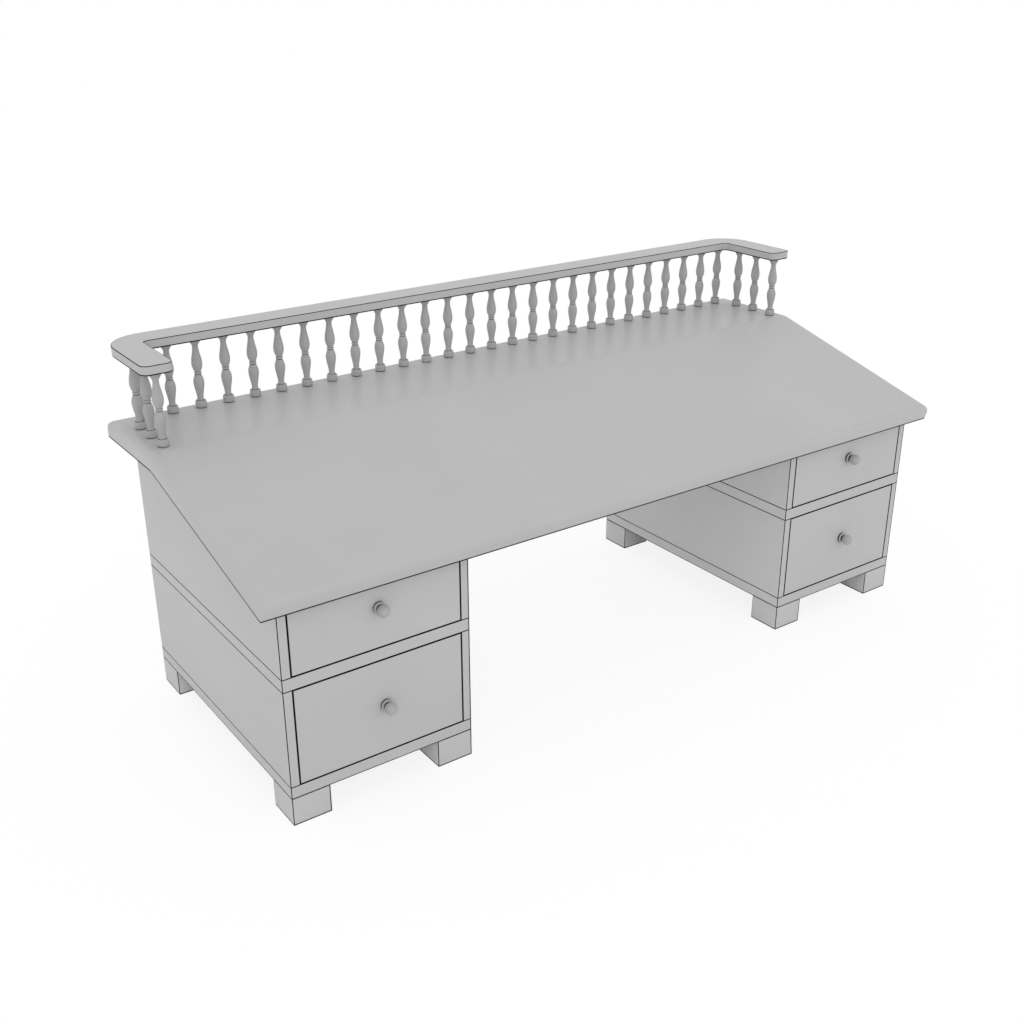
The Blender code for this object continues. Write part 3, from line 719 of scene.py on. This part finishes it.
def spindle_profile(height):
    """Half outline of a spindle: drum, lower bulb, collar, upper bulb and flared head."""
    seat = 0.0002
    drum_foot = arc((0.0046, 0.0011), 0.0009, -80, -20, 3)
    drum = [(0.00565, 0.0022), (0.0057, 0.0038), (0.0056, 0.0054)]
    drum_shoulder = arc((0.0045, 0.0064), 0.0010, 15, 80, 4)
    drum_crease = [(0.0041, 0.0075), (0.0034, 0.0077)]
    lower_neck, lower_bulb = (0.0032, 0.0095), (0.0054, 0.0267)
    below, above = (0.0033, 0.0343), (0.0033, 0.0376)
    collar = [(0.0031, 0.0347), *arc((0.0029, 0.03595), 0.0009, -65, 65, 6), (0.0031, 0.0372)]
    upper_bulb, upper_neck, head = (0.0054, 0.0455), (0.0029, 0.0636), (0.0053, 0.0682)
    return [
        (0.0, seat),
        (0.0048, seat),
        *drum_foot,
        *drum,
        *drum_shoulder,
        *drum_crease,
        lower_neck,
        *curve(lower_neck, lower_bulb, 12, long_swell),
        *curve(lower_bulb, below, 7, closing),
        *collar,
        above,
        *curve(above, upper_bulb, 7, filling),
        *curve(upper_bulb, upper_neck, 12, long_swell),
        *curve(upper_neck, head, 6, flaring),
        (head[0], height),
        (0.0, height),
    ]


def spindles():
    """The spindles of the gallery, turned once and set out along the rail."""
    shelf_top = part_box("desk_top")[1].z
    low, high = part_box("gallery_rail")
    first = turned("spindle", spindle_profile(low.z - shelf_top), SPINDLE_SIDES)
    # The spindles' paint is darker than the boards', as painted shade
    coat(first, paint_turned_painted_shade, undercoat_and_painted_shade)
    # The creases and the seat on the shelf are painted dark, as painted shade
    bare(first, ringed(SPINDLE_SHADE_RINGS))
    bpy.ops.object.shade_smooth_by_angle(angle=SHARP)

    row_half = high.x - ROW_END_INSET
    row_y = high.y - RAIL_WIDTH / 2
    arm_x = high.x - RAIL_WIDTH / 2
    groups = ("back_left_spindles", "back_middle_spindles", "back_right_spindles")
    places = []
    for i in range(BACK_ROW):
        x = 2 * row_half * (i / (BACK_ROW - 1) - 0.5)
        group = groups[i * len(groups) // BACK_ROW]
        places.append((f"back_spindle_{i + 1:02d}", group, (x, row_y, shelf_top)))
    for side, name in ((-1, "left"), (1, "right")):
        for i in range(ARM_ROW):
            y = low.y + ARM_END_INSET + i * SPINDLE_PITCH
            places.append((f"{name}_spindle_{i + 1}", f"{name}_spindles", (side * arm_x, y, shelf_top)))
    for name, node, place in places:
        settle(copied(first, name, place), "desk", "painted_wood", node)
    bpy.data.objects.remove(first)


def knob_profile():
    """Half outline of a knob: disc, neck and ball, with heights counted out from the drawer front."""
    seat, rim_low, rim_high = 0.0003, 0.0007, 0.0018
    disc, disc_ease, disc_round = 0.0058, 0.0004, 0.0010
    hollow, neck = (0.0038, 0.0030), (0.0032, 0.0036)
    ball, reach = 0.0059, 0.0091
    start = math.degrees(math.asin(neck[0] / ball)) - 90
    return [
        (0.0, seat),
        (disc - disc_ease, seat),
        *arc((disc - disc_ease, rim_low), disc_ease, -90, 0, 3),
        *arc((disc - disc_round, rim_high), disc_round, 0, 90, 5),
        hollow,
        neck,
        *arc((0.0, reach), ball, start, 90, 20)[:-1],
        (0.0, reach + ball),
    ]


def knobs():
    """The knobs, turned once and set on the drawer fronts."""
    first = turned("knob", knob_profile(), KNOB_SIDES)
    # The knobs' paint is darker than the boards', as painted shade
    coat(first, paint_knob_painted_shade, undercoat_and_painted_shade)
    # The waist and the seat on the drawer front are painted dark, as painted shade
    bare(first, ringed(KNOB_SHADE_RINGS))
    bpy.ops.object.mode_set(mode="EDIT")
    bpy.ops.mesh.select_all(action="SELECT")
    bpy.ops.transform.rotate(value=-math.pi / 2, orient_axis="X", center_override=(0, 0, 0))
    done()
    bpy.ops.object.shade_smooth_by_angle(angle=SHARP)
    for drawer in DRAWERS:
        low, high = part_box(f"{drawer}_knob")
        front_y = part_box(f"{drawer}_front")[0].y
        place = ((low.x + high.x) / 2, front_y, (low.z + high.z) / 2)
        settle(copied(first, f"{drawer}_turned_knob", place), drawer, "painted_wood", f"{drawer}_knob")
    bpy.data.objects.remove(first)


def groove(drawer):
    """Heights between which the bottom of a drawer sits in its groove."""
    low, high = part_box(f"{drawer}_bottom")
    return low.z - GLUE_GAP, high.z + GLUE_GAP


def drawer_front(drawer):
    """A drawer front, rebated at its ends for the sides and grooved for the bottom."""
    low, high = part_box(f"{drawer}_front")
    rebate_y = high.y - FRONT_LAP - GLUE_GAP
    inner_low, inner_high = low.x + SIDE_LAP + GLUE_GAP, high.x - SIDE_LAP - GLUE_GAP
    groove_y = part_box(f"{drawer}_bottom")[0].y - GLUE_GAP
    groove_low, groove_high = groove(drawer)
    gap_shade_y = low.y + GAP_SHADE_DEPTH

    def between_sides(face):
        return face.normal.y > SQUARE_ON and inner_low < face.calc_center_median().x < inner_high

    def in_groove(face):
        return lies(y=high.y)(face) and groove_low < face.calc_center_median().z < groove_high

    def in_gap_shade(face):
        return abs(face.normal.y) < EDGE_ON and face.calc_center_median().y < gap_shade_y

    piece = block(f"{drawer}_front_board", low, (high.x, rebate_y, high.z))
    for x in (inner_low, inner_high):
        split(piece, (x, 0, 0), (1, 0, 0))
    pull(piece, between_sides, (0, high.y - rebate_y, 0))
    for z in (groove_low, groove_high):
        split(piece, (0, 0, z), (0, 0, 1))
    pull(piece, in_groove, (0, groove_y - high.y, 0))
    split(piece, (0, gap_shade_y, 0), (0, 1, 0))
    coat(piece, paint_x, undercoat_and_painted_shade, pine_x)
    # The front's edges are painted dark near the face, as painted shade in the closed gaps
    bare(piece, in_gap_shade)
    bare(piece, lambda face: face.calc_center_median().y > rebate_y - NEAR, THIRD)
    ease(piece, lambda edge: FREE if lies(y=low.y, z=low.z)(edge) else SEAM)
    settle(piece, drawer, "painted_wood", f"{drawer}_front")


def drawer_side(drawer, node, inward):
    """A drawer side, grooved along its inner face for the bottom."""
    low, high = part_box(f"{drawer}_{node}")
    groove_low, groove_high = groove(drawer)

    def in_groove(face):
        within = groove_low < face.calc_center_median().z < groove_high
        return face.normal.x * inward > SQUARE_ON and within

    piece = block(f"{drawer}_{node}_board", low, high)
    for z in (groove_low, groove_high):
        split(piece, (0, 0, z), (0, 0, 1))
    pull(piece, in_groove, (-inward * (GROOVE_DEPTH + GLUE_GAP), 0, 0))
    coat(piece, pine_y)
    ease(piece, lambda edge: SEAM, FIRST)
    settle(piece, drawer, "bare_wood", f"{drawer}_{node}")


def drawer_board(drawer, node):
    """A board of a drawer with neither rebate nor groove."""
    low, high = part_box(f"{drawer}_{node}")
    piece = block(f"{drawer}_{node}_board", low, high)
    coat(piece, pine_x)
    ease(piece, lambda edge: SEAM, FIRST)
    settle(piece, drawer, "bare_wood", f"{drawer}_{node}")


def drawers():
    """The drawers: painted fronts on plain pine boxes."""
    for drawer in DRAWERS:
        drawer_front(drawer)
        drawer_side(drawer, "left_side", 1)
        drawer_side(drawer, "right_side", -1)
        drawer_board(drawer, "back")
        drawer_board(drawer, "bottom")


def looked_at(tree):
    """Whether a ray comes straight from the camera, by way of a reflection or through glass."""
    seen = add(tree, "ShaderNodeLightPath", {}).outputs
    straight = {0: seen["Is Camera Ray"], 1: seen["Is Glossy Ray"]}
    mirrored = add(tree, "ShaderNodeMath", {"operation": "MAXIMUM"}, straight).outputs["Value"]
    through = {0: mirrored, 1: seen["Is Transmission Ray"]}
    return add(tree, "ShaderNodeMath", {"operation": "MAXIMUM"}, through).outputs["Value"]


def pale_floor():
    """A pale paper floor that shows nearly white and keeps a light shadow."""
    bpy.ops.object.select_all(action="DESELECT")
    bpy.ops.mesh.primitive_plane_add(size=FLOOR_SIZE)
    floor = bpy.context.object
    floor.name = "floor"
    made, tree, shader = material("pale_paper_floor")
    tree.nodes.remove(shader)
    paper = add(tree, "ShaderNodeBsdfDiffuse", {"Color": linear("#F8F8F8")}).outputs["BSDF"]
    lit = add(tree, "ShaderNodeBsdfDiffuse", {"Color": (FLOOR_SHADE,) * 3 + (1.0,)}).outputs["BSDF"]
    lift = add(tree, "ShaderNodeEmission", {"Strength": FLOOR_LIFT}).outputs["Emission"]
    shown = add(tree, "ShaderNodeAddShader", {}, {0: lit, 1: lift}).outputs["Shader"]
    either = {0: looked_at(tree), 1: paper, 2: shown}
    both = add(tree, "ShaderNodeMixShader", {}, either).outputs["Shader"]
    tree.links.new(both, tree.nodes["Material Output"].inputs["Surface"])
    floor.data.materials.append(made)


def soft_light():
    """Even light from all round, white where it is looked at, and a weak, wide key light from the front."""
    world = bpy.data.worlds.new("light_tent")
    bpy.context.scene.world = world
    world.use_nodes = True
    tree = world.node_tree
    levels = {"data_type": "FLOAT", 2: FILL, 3: WHITE}
    strength = add(tree, "ShaderNodeMix", levels, {0: looked_at(tree)}).outputs[0]
    tree.links.new(strength, tree.nodes["Background"].inputs["Strength"])
    tree.nodes["Background"].inputs["Color"].default_value = (WHITE, WHITE, WHITE, 1.0)

    bpy.ops.object.light_add(type="SUN")
    key = bpy.context.object
    key.name = key.data.name = "soft_key"
    key.rotation_euler = Vector(KEY_FROM).to_track_quat("Z", "Y").to_euler()
    key.data.energy = KEY * math.pi
    key.data.angle = KEY_SPREAD


def photograph():
    """The photograph's camera and plain tones."""
    bpy.context.scene.view_settings.view_transform = "Standard"
    bpy.ops.object.camera_add()
    camera = bpy.context.object
    camera.data.lens = CAMERA_LENS
    camera.data.sensor_width = CAMERA_SENSOR
    camera.matrix_world = (
        Matrix.Translation(CAMERA_PLACE)
        @ Matrix.Rotation(-CAMERA_YAW, 4, "Z")
        @ Matrix.Rotation(math.pi / 2 - CAMERA_PITCH, 4, "X")
        @ Matrix.Rotation(CAMERA_ROLL, 4, "Z")
    )
    bpy.context.scene.camera = camera


bend_low = desk_top()
gallery_rail()
spindles()
pedestals(bend_low)
drawers()
knobs()
cleats()
pale_floor()
soft_light()
photograph()
